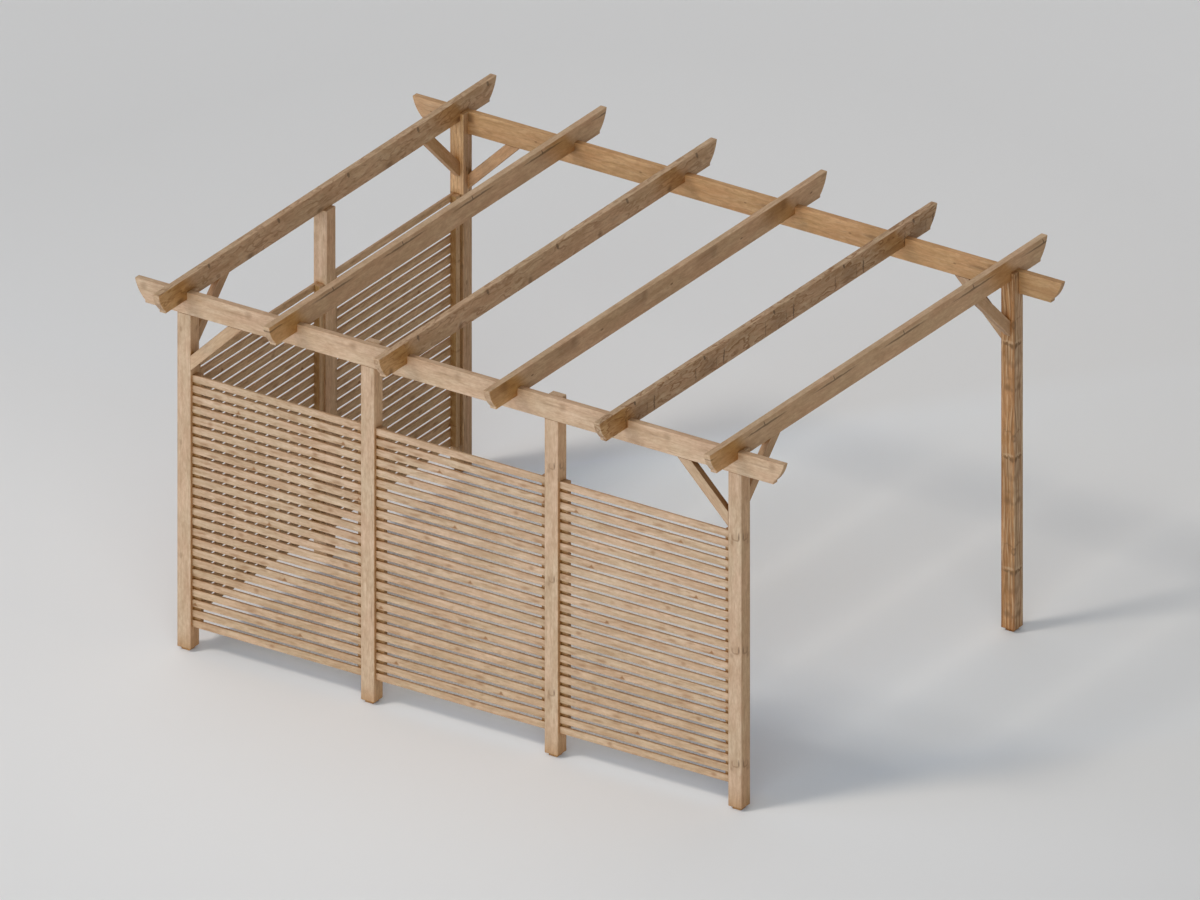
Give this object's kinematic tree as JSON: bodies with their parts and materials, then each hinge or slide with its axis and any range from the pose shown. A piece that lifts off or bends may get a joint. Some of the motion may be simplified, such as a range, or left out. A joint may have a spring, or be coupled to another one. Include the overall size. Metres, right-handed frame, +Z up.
{
  "type": "pergola with side screens",
  "caption": "Rectangular timber pergola: posts carry two beams and notched rafters with shaped ends, knee braces stiffen the corners, slatted screens close the front and the left side.",
  "frame": {"origin": "on the ground, at the centre of the plan", "axes": "+X along the long front to the right, +Y from the front to the back, +Z up"},
  "size_m": [4.5982, 3.5982, 2.45],
  "materials": {
    "post": "planed softwood, light brown, matt",
    "post_warm": "planed softwood, warmer brown, matt",
    "beam": "planed softwood, light brown, matt",
    "rafter": "planed softwood, light brown, matt",
    "brace": "planed softwood, light brown, matt",
    "screen": "planed softwood slats, light brown, matt"
  },
  "bodies": {
    "root": {"post_front_left": "post", "post_front_right": "post", "post_back_left": "post_warm", "post_back_right": "post_warm", "post_front_middle_1": "post", "post_front_middle_2": "post", "post_left_middle": "post", "beam_front": "beam", "beam_back": "beam", "rafter_1": "rafter", "rafter_2": "rafter", "rafter_3": "rafter", "rafter_4": "rafter", "rafter_5": "rafter", "rafter_6": "rafter", "brace_front_left_beam": "brace", "brace_front_left_rafter": "brace", "brace_front_right_beam": "brace", "brace_front_right_rafter": "brace", "brace_back_left_beam": "brace", "brace_back_left_rafter": "brace", "brace_back_right_beam": "brace", "brace_back_right_rafter": "brace", "screen_front_1": "screen", "screen_front_2": "screen", "screen_front_3": "screen", "screen_left_1": "screen", "screen_left_2": "screen"}
  },
  "joints": []
}
